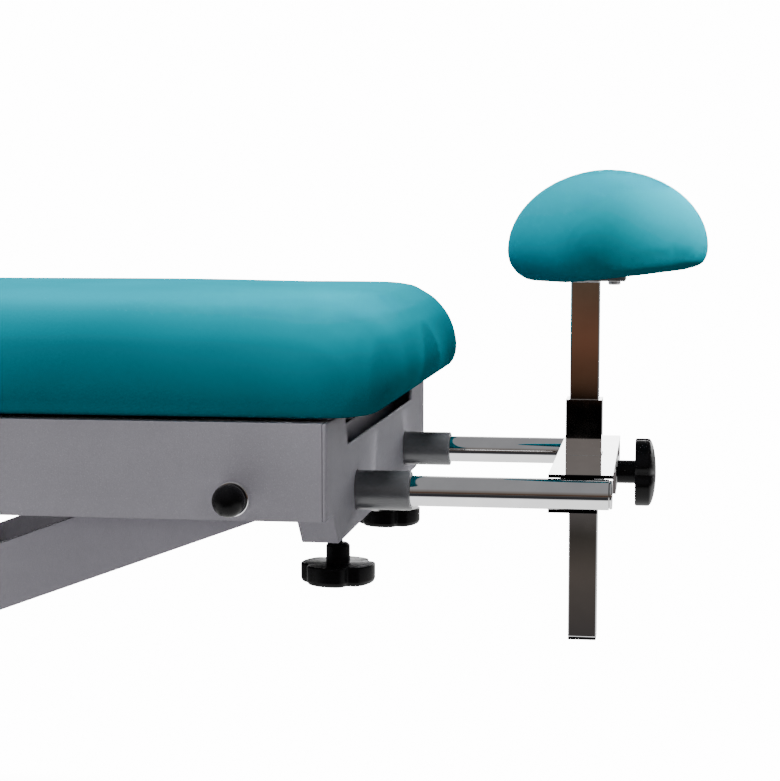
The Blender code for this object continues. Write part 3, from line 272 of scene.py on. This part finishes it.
def softened(profile, radius=0.0012, steps=4):
    # each corner of the profile becomes a short quadratic curve between points radius away from it
    points = [np.array(row, float) for row in profile]
    out = [points[0]]
    for before, corner, after in zip(points, points[1:], points[2:]):
        a, b = before - corner, after - corner
        la, lb = np.linalg.norm(a[:2]), np.linalg.norm(b[:2])
        cut = min(radius, la * 0.45, lb * 0.45)
        start, end = corner + a / la * cut, corner + b / lb * cut
        for t in np.linspace(0, 1, steps + 1):
            out.append((1 - t) ** 2 * start + 2 * t * (1 - t) * corner + t ** 2 * end)
    out.append(points[-1])
    return out


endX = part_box("foot_cross_member")[1][0]
tubeZ = sum(p[2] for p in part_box("outrigger_tube_front")) / 2
tubeY = 0.142  # half the spacing of the two bright tubes


# bright tubes, their plugs, and the grey guide tubes they slide in

brightTube = {"outer": 0.0125, "bore": 0.0105, "round": 0.0006}
tubePlug = {"stem": 0.0102, "head": 0.0118, "headLength": 0.0024, "round": 0.001}
guideTube = {"outer": 0.01625, "bore": 0.0129, "round": 0.0012}


def pipeProfile(shape, length):
    outer, bore = shape["outer"], shape["bore"]
    return softened([(0, bore), (0, outer), (length, outer), (length, bore), (0, bore)], shape["round"])


def makeTubes():
    for side, sign in (("front", -1), ("back", 1)):
        low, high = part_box("outrigger_tube_" + side)
        piece = gridPiece("brightTube_" + side, turnedGrid((low[0], sign * tubeY, tubeZ), (1, 0, 0),
                                                           pipeProfile(brightTube, high[0] - low[0]), 128))
        dress(piece, "outrigger_tube_" + side)
        low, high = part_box("tube_plug_" + side)
        length = high[0] - low[0]
        neck = length - tubePlug["headLength"]
        stem, head = tubePlug["stem"], tubePlug["head"]
        profile = [(0, 0), (0, stem), (neck, stem), (neck, head), (length, head), (length, 0)]
        piece = gridPiece("tubePlug_" + side, turnedGrid((low[0], sign * tubeY, tubeZ), (1, 0, 0),
                                                         softened(profile, tubePlug["round"]), 64))
        dress(piece, "tube_plug_" + side)
        low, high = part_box("guide_tube_" + side)
        piece = gridPiece("guideTube_" + side, turnedGrid((low[0], sign * tubeY, tubeZ), (1, 0, 0),
                                                          pipeProfile(guideTube, high[0] - low[0]), 96))
        dress(piece, "guide_tube_" + side)
        # the guide tubes take the enamel whose darker base colour is painted shade
        piece.data.materials[0] = shadedBossPaint


makeTubes()
print("tubes made")


# black knobs and the round caps on the arms' pivots

starKnob = {"radius": 0.031, "hub": 0.010, "hubLength": 0.0168, "height": 0.0165, "dip": 0.005, "phase": 16.3,
            "stud": 0.004, "round": 0.0008}
clampKnob = {"radius": 0.0306, "hub": 0.0103, "hubLength": 0.0158, "thick": 0.0184, "rim": 0.0114, "dip": 0.005,
             "phase": 45.0, "stud": 0.004, "round": 0.0008}
pivotAxle = {"shaft": 0.010, "collar": 0.0135, "collarLength": 0.008, "spigot": 0.0055, "spigotLength": 0.004,
             "round": 0.0012}
pivotCap = {"ball": 0.0125, "rim": 0.010, "socket": 0.0058, "socketDepth": 0.0043}


def makeKnobs():
    for side, sign in (("front", -1), ("back", 1)):
        low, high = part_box("star_knob_" + side)
        x = (low[0] + high[0]) / 2
        top = high[2]
        face = top - low[2] - starKnob["hubLength"] - starKnob["height"]
        knob = face + starKnob["hubLength"]
        end = knob + starKnob["height"]
        r, d = starKnob["radius"], starKnob["dip"]
        h, stud = starKnob["hub"], starKnob["stud"]
        profile = [(0, 0, 0), (0, stud, 0), (face, stud, 0), (face, h * 0.8, 0), (face + 0.002, h, 0), (knob, h, 0),
                   (knob, r - 0.0005, d), (knob + 0.0008, r, d), (end - 0.004, r, d), (end - 0.0013, r * 0.96, d),
                   (end, r * 0.87, d), (end, 0, 0)]
        turn = math.radians(starKnob["phase"])
        piece = gridPiece("starKnob_" + side, turnedGrid((x, sign * tubeY, top), (0, 0, -1),
                                                         softened(profile, starKnob["round"]), 192, 4, turn))
        dress(piece, "star_knob_" + side)
    low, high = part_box("clamp_knob")
    c = clampKnob
    disc = high[0] - low[0] - c["thick"]
    hub = disc - c["hubLength"]
    r, d, deep = c["radius"], c["dip"], c["thick"] - c["rim"]
    dome = [(disc + c["rim"] + deep * math.sin(t), r * max(math.cos(t), 0), d * max(math.cos(t), 0))
            for t in np.linspace(0.12, math.pi / 2, 18)]
    profile = [(0, 0, 0), (0, c["stud"], 0), (hub, c["stud"], 0), (hub, c["hub"], 0), (disc, c["hub"], 0),
               (disc, r - 0.0008, d), (disc + 0.0012, r, d), (disc + c["rim"] - 0.001, r, d)] + dome
    turn = math.radians(c["phase"])
    piece = gridPiece("clampKnob", turnedGrid((low[0], 0, tubeZ), (1, 0, 0), softened(profile, c["round"]), 192, 4,
                                              turn))
    dress(piece, "clamp_knob")
    for side, sign in (("front", -1), ("back", 1)):
        low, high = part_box("top_axle_" + side)
        x, z = (low[0] + high[0]) / 2, (low[2] + high[2]) / 2
        inner = low[1] if sign > 0 else high[1]
        length = high[1] - low[1]
        neck = length - pivotAxle["spigotLength"]
        face = neck - pivotAxle["collarLength"]
        shaft, collar, spigot = pivotAxle["shaft"], pivotAxle["collar"], pivotAxle["spigot"]
        profile = [(0, 0), (0, shaft), (face, shaft), (face, collar), (neck, collar), (neck, spigot),
                   (length, spigot), (length, 0)]
        piece = gridPiece("pivotAxle_" + side, turnedGrid((x, inner, z), (0, sign, 0),
                                                          softened(profile, pivotAxle["round"]), 96))
        dress(piece, "top_axle_" + side)
        low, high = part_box("axle_cap_" + side)
        inner = low[1] if sign > 0 else high[1]
        ball, rim = pivotCap["ball"], pivotCap["rim"]
        socket, deep = pivotCap["socket"], pivotCap["socketDepth"]
        sunk = math.sqrt(ball * ball - rim * rim)
        start = math.atan2(rim, -sunk)
        ballRound = [(sunk + ball * math.cos(t), ball * max(math.sin(t), 0)) for t in np.linspace(start, 0, 32)]
        profile = [(deep, 0), (deep, socket), (0, socket)] + ballRound
        piece = gridPiece("pivotCap_" + side, turnedGrid((x, inner, z), (0, sign, 0), profile, 96))
        dress(piece, "axle_cap_" + side)


makeKnobs()
print("knobs made")


# cushions

def roundRectangle(halfX, halfY, corner, steps, power=1.0):
    # a corner arc per quarter: centre (+-(halfX - corner), +-(halfY - corner)) plus corner * (cos t, sin t), each
    # to the power given, which under 1 eases the arc into the straight sides
    quarter = np.repeat(np.arange(4), steps)
    t = np.pi / 2 * (quarter + np.tile(np.linspace(0, 1, steps), 4))
    signX = np.array([1, -1, -1, 1])[quarter]
    signY = np.array([1, 1, -1, -1])[quarter]
    x = signX * (halfX - corner + corner * np.abs(np.cos(t)) ** power)
    y = signY * (halfY - corner + corner * np.abs(np.sin(t)) ** power)
    return np.stack([x, y], axis=-1)


def takeShape(piece):
    # the mesh as its modifiers leave it becomes the piece's own
    view = bpy.context.evaluated_depsgraph_get()
    shaped = bpy.data.meshes.new_from_object(piece.evaluated_get(view))
    piece.modifiers.clear()
    old = piece.data
    piece.data = shaped
    bpy.data.meshes.remove(old)


def places(mesh, field="co"):
    flat = np.empty(len(mesh.vertices) * 3, np.float32)
    mesh.vertices.foreach_get(field, flat)
    return flat.reshape(-1, 3)


air = {"pressure": 4.0, "quality": 4, "steps": 16, "fade": 0.006}


def puff(piece, skin, floor):
    # a skin of even quads, drawn in by shrink, is blown up as cloth; from there no point moves in, or out by more
    # than cap, and what is less than held over the floor stays where it is
    remesh = piece.modifiers.new("evenSkin", "REMESH")
    remesh.mode = "VOXEL"
    remesh.voxel_size = skin["voxel"]
    takeShape(piece)
    mesh = piece.data
    rest = places(mesh)
    free = np.clip((rest[:, 2:3] - (floor + skin["held"])) / air["fade"], 0, 1)
    outward = places(mesh, "normal")
    start = rest - skin["shrink"] * free * outward
    mesh.vertices.foreach_set("co", start.ravel())
    mesh.update()
    group = piece.vertex_groups.new(name="held")
    group.add(np.nonzero(free[:, 0] <= 0)[0].tolist(), 1.0, "REPLACE")
    cloth = piece.modifiers.new("air", "CLOTH")
    cloth.settings.use_pressure = True
    cloth.settings.uniform_pressure_force = air["pressure"]
    cloth.settings.effector_weights.gravity = 0.0
    cloth.settings.quality = air["quality"]
    cloth.settings.vertex_group_mass = "held"
    cloth.point_cache.frame_end = air["steps"]
    scene = bpy.context.scene
    for step in range(1, air["steps"] + 1):
        scene.frame_set(step)
    takeShape(piece)
    scene.frame_set(1)
    mesh = piece.data
    swell = ((places(mesh) - start) * outward).sum(axis=1, keepdims=True)
    mesh.vertices.foreach_set("co", (start + np.clip(swell, 0, skin["cap"]) * free * outward).ravel())
    mesh.update()
    piece.vertex_groups.clear()
    mesh.shade_smooth()
    finer = piece.modifiers.new("finer", "SUBSURF")
    finer.levels = finer.render_levels = 1


mattress = {"bulge": 0.014, "sideBulge": 0.0015, "waist": 0.018, "shoulderPower": 0.94, "endShoulder": 0.0655,
            "sideShoulder": 0.040, "crown": 0.0085, "corner": 0.060, "cornerPower": 0.77, "leastCorner": 0.004,
            "footRound": 0.003, "underside": 0.0008, "fill": 0.95}
mattressSkin = {"voxel": 0.0112, "shrink": 0.0003, "cap": 0.0006, "held": 0.001}


def makeMattress():
    # loops of a rounded rectangle: a quarter ellipse up to the waist, then a shoulder of (cos t, sin t)^power at the
    # end and of a quarter ellipse at the side; inside those the height is crown * endRise * sideRise, where each
    # rise is 1 - (1 - share)^2 of the way in from the edge
    low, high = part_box("mattress")
    m = mattress
    centreX = (low[0] + high[0]) / 2
    halfX = (high[0] - low[0]) / 2 - m["bulge"]
    halfY = (high[1] - low[1]) / 2 - m["sideBulge"]
    thick = high[2] - low[2]
    tuckIn = np.array([-0.25, -0.05, -0.02, -m["footRound"]])
    tuck = np.stack([tuckIn, tuckIn, np.zeros(4)], axis=-1)
    turn = np.linspace(0, np.pi / 2, 14)
    side = np.stack([m["bulge"] * np.sin(turn), m["sideBulge"] * np.sin(turn), m["waist"] * (1 - np.cos(turn))],
                    axis=-1)
    side[0, 2] = m["footRound"] / 12
    turn = np.linspace(0, np.pi / 2, 26)[1:]
    level = np.sin(turn) ** m["shoulderPower"]
    endDraw = 1 - np.maximum(np.cos(turn), 0) ** m["shoulderPower"]
    sideDraw = 1 - np.sqrt(np.maximum(1 - level * level, 0))
    shoulder = np.stack([m["bulge"] - m["endShoulder"] * endDraw, m["sideBulge"] - m["sideShoulder"] * sideDraw,
                         m["waist"] + (thick - m["waist"] - m["crown"]) * level], axis=-1)
    flatX = halfX + m["bulge"] - m["endShoulder"]
    flatY = halfY + m["sideBulge"] - m["sideShoulder"]
    inward = flatY * np.linspace(0, 0.985, 22)[1:]
    inner = np.stack([shoulder[-1, 0] - inward, shoulder[-1, 1] - inward, np.full(21, thick - m["crown"])], axis=-1)
    rows = np.concatenate([tuck, side, shoulder, inner])
    corners = np.maximum(m["corner"] + np.minimum(rows[:, 0], 0) / 2, m["leastCorner"])
    plans = np.array([roundRectangle(halfX + a, halfY + b, corner, 32, m["cornerPower"])
                      for (a, b), corner in zip(rows[:, :2], corners)])
    x, y = plans[..., 0], plans[..., 1]
    endShare = np.clip((flatX - np.abs(x)) / flatY, 0, 1)
    sideShare = np.clip((flatY - np.abs(y)) / flatY, 0, 1)
    crown = m["crown"] * (1 - (1 - endShare) ** 2) * (1 - (1 - sideShare) ** 2)
    crown[:len(tuck) + len(side)] = 0
    grid = np.stack([centreX + x, y, low[2] + rows[:, 2][:, None] + crown], axis=-1)
    firstCap = np.repeat(grid[:1].mean(axis=1, keepdims=True), grid.shape[1], axis=1)
    lastCap = np.repeat(grid[-1:].mean(axis=1, keepdims=True), grid.shape[1], axis=1)
    piece = gridPiece("mattressCushion", np.concatenate([firstCap, grid, lastCap]))
    puff(piece, mattressSkin, low[2])
    dress(piece, "mattress")
    piece.data.materials[0] = vinylFinish("mattressVinyl", low[2] + m["underside"])


padShape = {"corner": 0.042, "turn": 35.0, "equator": 0.026, "dome": 0.0715, "domePower": 1.05, "seat": 0.79,
            "seatEnd": 0.09, "seatSide": 0.07, "rise": 0.014, "riseStart": 0.034, "riseLeft": 0.25,
            "fill": 0.9}
padSkin = {"voxel": 0.005, "shrink": 0.0003, "cap": 0.0012, "held": 0.002}


def makePad():
    # rings of a rounded square turned in plan: the share of the plan is seat + (1 - seat) * sin under the rim and
    # cos^domePower over it, where seat grows by seatEnd to the end and by seatSide to the sides; the underside lifts
    # to the end by rise * along, and riseLeft of that is left at the rim
    low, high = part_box("pad")
    p = padShape
    centreX = (low[0] + high[0]) / 2
    reach = (high[0] - low[0]) / 2
    angle = math.radians(p["turn"])
    c, s = math.cos(angle), math.sin(angle)
    half = (reach - p["corner"]) / (c + s) + p["corner"]
    plan = roundRectangle(half, half, p["corner"], 24)
    planX = (plan[:, 0] * c - plan[:, 1] * s)[None, :]
    planY = (plan[:, 0] * s + plan[:, 1] * c)[None, :]
    under = np.linspace(0, np.pi / 2, 16)
    over = np.linspace(0, np.pi / 2, 34)[1:]
    scale = np.concatenate([[0.0, 0.5], np.ones(16), np.cos(over) ** p["domePower"]])[:, None]
    swell = np.concatenate([[0.0, 0.0], np.sin(under), np.ones(33)])[:, None]
    height = np.concatenate([[0.0, 0.0], p["equator"] * (1 - np.cos(under)), p["equator"] + p["dome"] * np.sin(over)])
    tilt = np.concatenate([[1.0, 1.0], 1 - (1 - p["riseLeft"]) * (1 - np.cos(under)), p["riseLeft"] * np.cos(over)])
    seat = p["seat"] + p["seatEnd"] * planX / reach + p["seatSide"] * (planY / reach) ** 2
    share = scale * (seat + (1 - seat) * swell)
    along = np.maximum(share * planX + p["riseStart"], 0) / (reach + p["riseStart"])
    grid = np.stack([centreX + share * planX, share * planY,
                     low[2] + height[:, None] + p["rise"] * tilt[:, None] * along], axis=-1)
    piece = gridPiece("padCushion", grid)
    puff(piece, padSkin, low[2])
    dress(piece, "pad")


makeMattress()
makePad()
print("cushions made")


# CAD nodes that keep their shape: procedural finish, and a small round on their folded edges

edgeRound = {"side_rail_front": 0.0003, "side_rail_back": 0.0003, "foot_cross_member": 0.0014,
             "head_cross_member": 0.0014, "clamp_channel": 0.0008, "post_sleeve": 0.0012, "post": 0.0014,
             "pad_plate": 0.0006, "post_plug": 0.0008, "outer_arm_front": 0.0014, "outer_arm_back": 0.0014,
             "inner_arm_front": 0.0014, "inner_arm_back": 0.0014, "base_rail_front": 0.0014,
             "base_rail_back": 0.0014}
foldRound = {"weld": 0.00002, "segments": 3, "angle": 40.0}
channelShadeDepth = 0.0008  # depth of the painted shade on the clamp channel's front edge
for name, node in nodes.items():
    node.data.materials.clear()
    node.data.materials.append(finishes[slotOf[name]])
    # the clamp channel's front edge is painted near black as shade and dark reflection
    if name == "clamp_channel":
        shadedEdgeY = min(corner[1] for corner in node.bound_box) + channelShadeDepth
        node.data.materials[0] = chromeFinish("channelChrome", shadedEdgeY)
    if name in edgeRound:
        weld = node.modifiers.new("joinCorners", "WELD")
        weld.merge_threshold = foldRound["weld"]
        bevel = node.modifiers.new("foldRound", "BEVEL")
        bevel.width = edgeRound[name]
        bevel.segments = foldRound["segments"]
        bevel.limit_method = "ANGLE"
        bevel.angle_limit = math.radians(foldRound["angle"])
        bevel.harden_normals = True
print("frame nodes finished")


# stage, light and camera

stageLook = {"reach": 14.0, "white": 15.0, "pale": (0.80, 0.80, 0.80), "near": 0.55, "far": 1.05, "dim": 0.16,
             "card": ((-2.6, -2.8), (0.7, -0.3)), "cardTone": 0.54, "oval": (0.72, 1.55, 0.0),
             "levels": {"floor": -0.001, "card": -0.0008, "seen": -0.0005}}


def plane(name, low, high, z):
    mesh = bpy.data.meshes.new(name)
    mesh.from_pydata([(low[0], low[1], z), (high[0], low[1], z), (high[0], high[1], z), (low[0], high[1], z)], [],
                     [(0, 1, 2, 3)])
    floor = bpy.data.objects.new(name, mesh)
    bpy.context.scene.collection.objects.link(floor)
    return floor


def cameraOnly(piece):
    piece.visible_diffuse = False
    piece.visible_glossy = False
    piece.visible_transmission = False
    piece.visible_volume_scatter = False
    piece.visible_shadow = False


def makeStage():
    # a dim floor and a paler card on it bounce light and are not seen; the floor that is seen is pale near the
    # table and white further out
    reach, level = stageLook["reach"], stageLook["levels"]
    whole = ((-reach, -reach), (reach, reach))
    for name, (low, high), z, tone in (("bounceFloor", whole, level["floor"], stageLook["dim"]),
                                       ("bounceCard", stageLook["card"], level["card"], stageLook["cardTone"])):
        bounce = plane(name, low, high, z)
        bounce.data.materials.append(newFinish(name, {"Roughness": 0.9, "Base Color": (tone, tone, tone, 1)})[0])
        bounce.visible_camera = False
        bounce.visible_glossy = False
    floor = plane("paleFloor", *whole, level["seen"])
    cameraOnly(floor)
    material, sheet, shader = newFinish("paleFloor", {"Roughness": 0.9, "Base Color": (*stageLook["pale"], 1)})
    place = sheet.add("ShaderNodeTexCoord", {}, {}, "Object")
    oval = sheet.add("ShaderNodeVectorMath", {"operation": "MULTIPLY"}, {0: place, 1: stageLook["oval"]})
    away = sheet.add("ShaderNodeVectorMath", {"operation": "LENGTH"}, {0: oval}, "Value")
    glow = sheet.add("ShaderNodeEmission", {}, {"Color": (1, 1, 1, 1), "Strength": stageLook["white"]})
    share = sheet.spread(away, stageLook["near"], stageLook["far"], 0.0, 1.0)
    both = sheet.add("ShaderNodeMixShader", {}, {0: share, 1: Wire(sheet, shader.outputs[0]), 2: glow})
    sheet.tree.links.new(both.socket, sheet.tree.nodes["Material Output"].inputs["Surface"])
    floor.data.materials.append(material)
    makeBackdrop()


def makeBackdrop():
    # a wide white dome, seen by the camera only: points radius * (cos u cos v, sin u cos v, sin v)
    u = np.linspace(0, 2 * np.pi, 48, endpoint=False)
    v = np.linspace(-0.1, np.pi / 2, 16)
    radius = stageLook["reach"] * 0.95
    grid = radius * np.stack([np.cos(v)[:, None] * np.cos(u), np.cos(v)[:, None] * np.sin(u),
                              np.repeat(np.sin(v)[:, None], len(u), axis=1)], axis=-1)
    dome = gridPiece("whiteBackdrop", grid)
    cameraOnly(dome)
    material, sheet = newFinish("whiteBackdrop", {})[:2]
    glow = sheet.add("ShaderNodeEmission", {}, {"Color": (1, 1, 1, 1), "Strength": stageLook["white"]})
    sheet.tree.links.new(glow.socket, sheet.tree.nodes["Material Output"].inputs["Surface"])
    dome.data.materials.append(material)


# light from all sides is weak; the backdrop and the floor are bright in the plated parts, and the side behind the
# camera is a dim room, where the height of the view runs from low to high
roomLook = {"plain": (0.30, 0.30, 0.31), "floor": (1.7, 1.7, 1.7), "side": (0.12, 0.12, 0.12), "low": -0.25,
            "high": 0.15, "sideFade": (0.2, 0.6), "backdropFade": (0.7, 0.9), "floorFade": (-0.35, -0.08),
            "aheadFade": (-0.80, -0.45), "underFade": (-0.68, -0.50), "overEnd": 0.45}
roomBands = [(0.00, (0.035, 0.035, 0.04)), (0.15, (0.09, 0.075, 0.065)), (0.20, (0.045, 0.04, 0.035)),
             (0.29, (0.18, 0.16, 0.16)), (0.322, (0.13, 0.11, 0.10)), (0.328, (0.001, 0.001, 0.001)),
             (0.384, (0.001, 0.001, 0.001)), (0.41, (0.07, 0.035, 0.02)), (0.47, (0.14, 0.06, 0.035)),
             (0.55, (0.09, 0.06, 0.04)), (1.00, (0.20, 0.18, 0.17))]
backdropBands = [(0.00, (0.5, 0.5, 0.5)), (0.05, (6.5, 6.5, 6.5)), (0.22, (6.5, 6.5, 6.5)), (0.34, (1.5, 1.5, 1.5)),
                 (0.60, (1.1, 1.1, 1.1)), (1.00, (0.3, 0.3, 0.3))]


def makeRoom():
    world = bpy.data.worlds.new("studio")
    bpy.context.scene.world = world
    world.use_nodes = True
    sheet = Sheet(world.node_tree)
    way = sheet.add("ShaderNodeTexCoord", {}, {}, "Generated")
    split = sheet.add("ShaderNodeSeparateXYZ", {}, {0: way}).socket.node
    across, depth, level = [Wire(sheet, socket) for socket in split.outputs]
    color = sheet.blend(sheet.spread(across, *roomLook["sideFade"], 0.0, 1.0), roomLook["plain"], roomLook["side"])
    backdrop = sheet.add("ShaderNodeValToRGB", {"stops": backdropBands}, {0: level})
    color = sheet.blend(sheet.spread(depth, *roomLook["backdropFade"], 0.0, 1.0), color, backdrop)
    color = sheet.blend(sheet.spread(level, *roomLook["floorFade"], 1.0, 0.0), color, roomLook["floor"])
    ahead = sheet.spread(depth, *roomLook["aheadFade"], 1.0, 0.0)
    under = sheet.spread(level, *roomLook["underFade"], 0.0, 1.0)
    over = sheet.spread(level, roomLook["high"], roomLook["overEnd"], 1.0, 0.0)
    height = sheet.add("ShaderNodeMapRange", {}, {"Value": level, "From Min": roomLook["low"],
                                                  "From Max": roomLook["high"]})
    bands = sheet.add("ShaderNodeValToRGB", {"stops": roomBands}, {0: height})
    color = sheet.blend(ahead * under * over, color, bands)
    back = world.node_tree.nodes["Background"]
    world.node_tree.links.new(color.socket, back.inputs["Color"])


# rows of name, place, aim, size, power in watts and spread in degrees
lampRows = [("topSoftbox", (0.3, 0.05, 2.6), (0.3, 0.05, 0.6), (1.8, 1.6), 112, 180.0),
            ("padLamp", (1.73, -0.21, 1.57), (1.05, -0.01, 0.725), (0.1, 0.1), 0.2, 10.0),
            ("sideFill", (2.2, -2.2, 1.0), (0.8, -0.25, 0.55), (0.8, 0.8), 0.5, 60.0),
            ("cornerLamp", (0.75, -1.5, 2.0), (0.80, -0.16, 0.67), (0.15, 0.15), 0.11, 8.5)]


def addLamp(name, place, aim, size, power, spread):
    lamp = bpy.data.lights.new(name, "AREA")
    lamp.energy = power
    lamp.spread = math.radians(spread)
    lamp.shape = "RECTANGLE"
    lamp.size, lamp.size_y = size
    holder = bpy.data.objects.new(name, lamp)
    holder.location = place
    holder.rotation_euler = (Vector(aim) - Vector(place)).to_track_quat("-Z", "Y").to_euler()
    holder.visible_glossy = False
    bpy.context.scene.collection.objects.link(holder)


cameraSet = {"fromEnd": (0.2429, -1.5965, 0.2172), "yaw": 0.1473, "pitch": 0.0913, "lens": 82.97, "sensor": 36,
             "clipEnd": 60}


def makeCamera():
    data = bpy.data.cameras.new("photoView")
    data.sensor_width = cameraSet["sensor"]
    data.lens = cameraSet["lens"]
    data.clip_end = cameraSet["clipEnd"]
    camera = bpy.data.objects.new("photoView", data)
    dx, dy, dz = cameraSet["fromEnd"]
    camera.location = (endX + dx, dy, tubeZ + dz)
    camera.rotation_euler = (math.pi / 2 - cameraSet["pitch"], 0, cameraSet["yaw"])
    bpy.context.scene.collection.objects.link(camera)
    bpy.context.scene.camera = camera


makeStage()
makeRoom()
for lampRow in lampRows:
    addLamp(*lampRow)
makeCamera()
print("stage, light and camera set")
